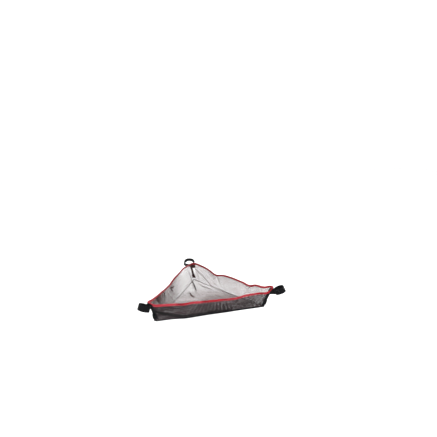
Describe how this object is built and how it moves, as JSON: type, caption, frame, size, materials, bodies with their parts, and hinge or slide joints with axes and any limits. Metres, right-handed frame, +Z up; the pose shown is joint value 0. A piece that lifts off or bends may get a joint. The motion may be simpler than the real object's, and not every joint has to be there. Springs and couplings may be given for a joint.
{
  "type": "tripod weight bag",
  "caption": "Open triangular mesh tray that hangs low between tripod legs to hold ballast, with a red-bound rim, black corner tapes and hook-and-loop leg straps that peel open.",
  "frame": {"origin": "on the bag's vertical axis, level with the corners of its rim, midway between the three legs it straps to", "axes": "+Z up out of the open tray, +Y towards the rear corner, +X to the right seen from the front"},
  "size_m": [0.6228, 0.5544, 0.0987],
  "materials": {
    "mesh": "open black polyester mesh",
    "red_tape": "red ribbed binding tape",
    "black_tape": "black ribbed webbing and seam tape",
    "strap_webbing": "black woven strap",
    "loop_fabric": "black brushed loop pile",
    "hook_fabric": "black hook tape"
  },
  "bodies": {
    "bag": {"floor_panel": "mesh", "front_wall": "mesh", "front_rim_binding": "red_tape", "front_floor_binding": "black_tape", "right_wall": "mesh", "right_rim_binding": "red_tape", "right_floor_binding": "black_tape", "left_wall": "mesh", "left_rim_binding": "red_tape", "left_floor_binding": "black_tape", "front_left_corner_tape": "black_tape", "front_left_tape_hem": "black_tape", "front_left_strap_anchor": "strap_webbing", "front_right_corner_tape": "black_tape", "front_right_tape_hem": "black_tape", "front_right_strap_anchor": "strap_webbing", "rear_corner_tape": "black_tape", "rear_tape_hem": "black_tape", "rear_strap_anchor": "strap_webbing"},
    "strap_front_left": {"front_left_strap_band": "strap_webbing", "front_left_loop_patch": "loop_fabric"},
    "flap_front_left": {"front_left_strap_flap": "strap_webbing", "front_left_hook_patch": "hook_fabric"},
    "strap_front_right": {"front_right_strap_band": "strap_webbing", "front_right_loop_patch": "loop_fabric"},
    "flap_front_right": {"front_right_strap_flap": "strap_webbing", "front_right_hook_patch": "hook_fabric"},
    "strap_rear": {"rear_strap_band": "strap_webbing", "rear_loop_patch": "loop_fabric"},
    "flap_rear": {"rear_strap_flap": "strap_webbing", "rear_hook_patch": "hook_fabric"}
  },
  "joints": [
    {"name": "front_left_strap_tilt", "type": "hinge", "parent": "bag", "child": "strap_front_left", "pos_m": [-0.265, -0.153, -0.009], "axis": [0.5, -0.866, 0], "range_deg": [-10, 23]},
    {"name": "front_left_flap_peel", "type": "hinge", "parent": "strap_front_left", "child": "flap_front_left", "pos_m": [-0.27881, -0.19341, 0.00465], "axis": [0.3384, 0.1954, 0.9205], "range_deg": [0, 110]},
    {"name": "front_right_strap_tilt", "type": "hinge", "parent": "bag", "child": "strap_front_right", "pos_m": [0.265, -0.153, -0.009], "axis": [0.5, 0.866, 0], "range_deg": [-10, 23]},
    {"name": "front_right_flap_peel", "type": "hinge", "parent": "strap_front_right", "child": "flap_front_right", "pos_m": [0.3069, -0.14476, 0.00465], "axis": [-0.3384, 0.1954, 0.9205], "range_deg": [0, 110]},
    {"name": "rear_strap_tilt", "type": "hinge", "parent": "bag", "child": "strap_rear", "pos_m": [0, 0.306, -0.009], "axis": [-1, 0, 0], "range_deg": [-10, 23]},
    {"name": "rear_flap_peel", "type": "hinge", "parent": "strap_rear", "child": "flap_rear", "pos_m": [-0.02809, 0.33816, 0.00465], "axis": [0, -0.3907, 0.9205], "range_deg": [0, 110]}
  ]
}
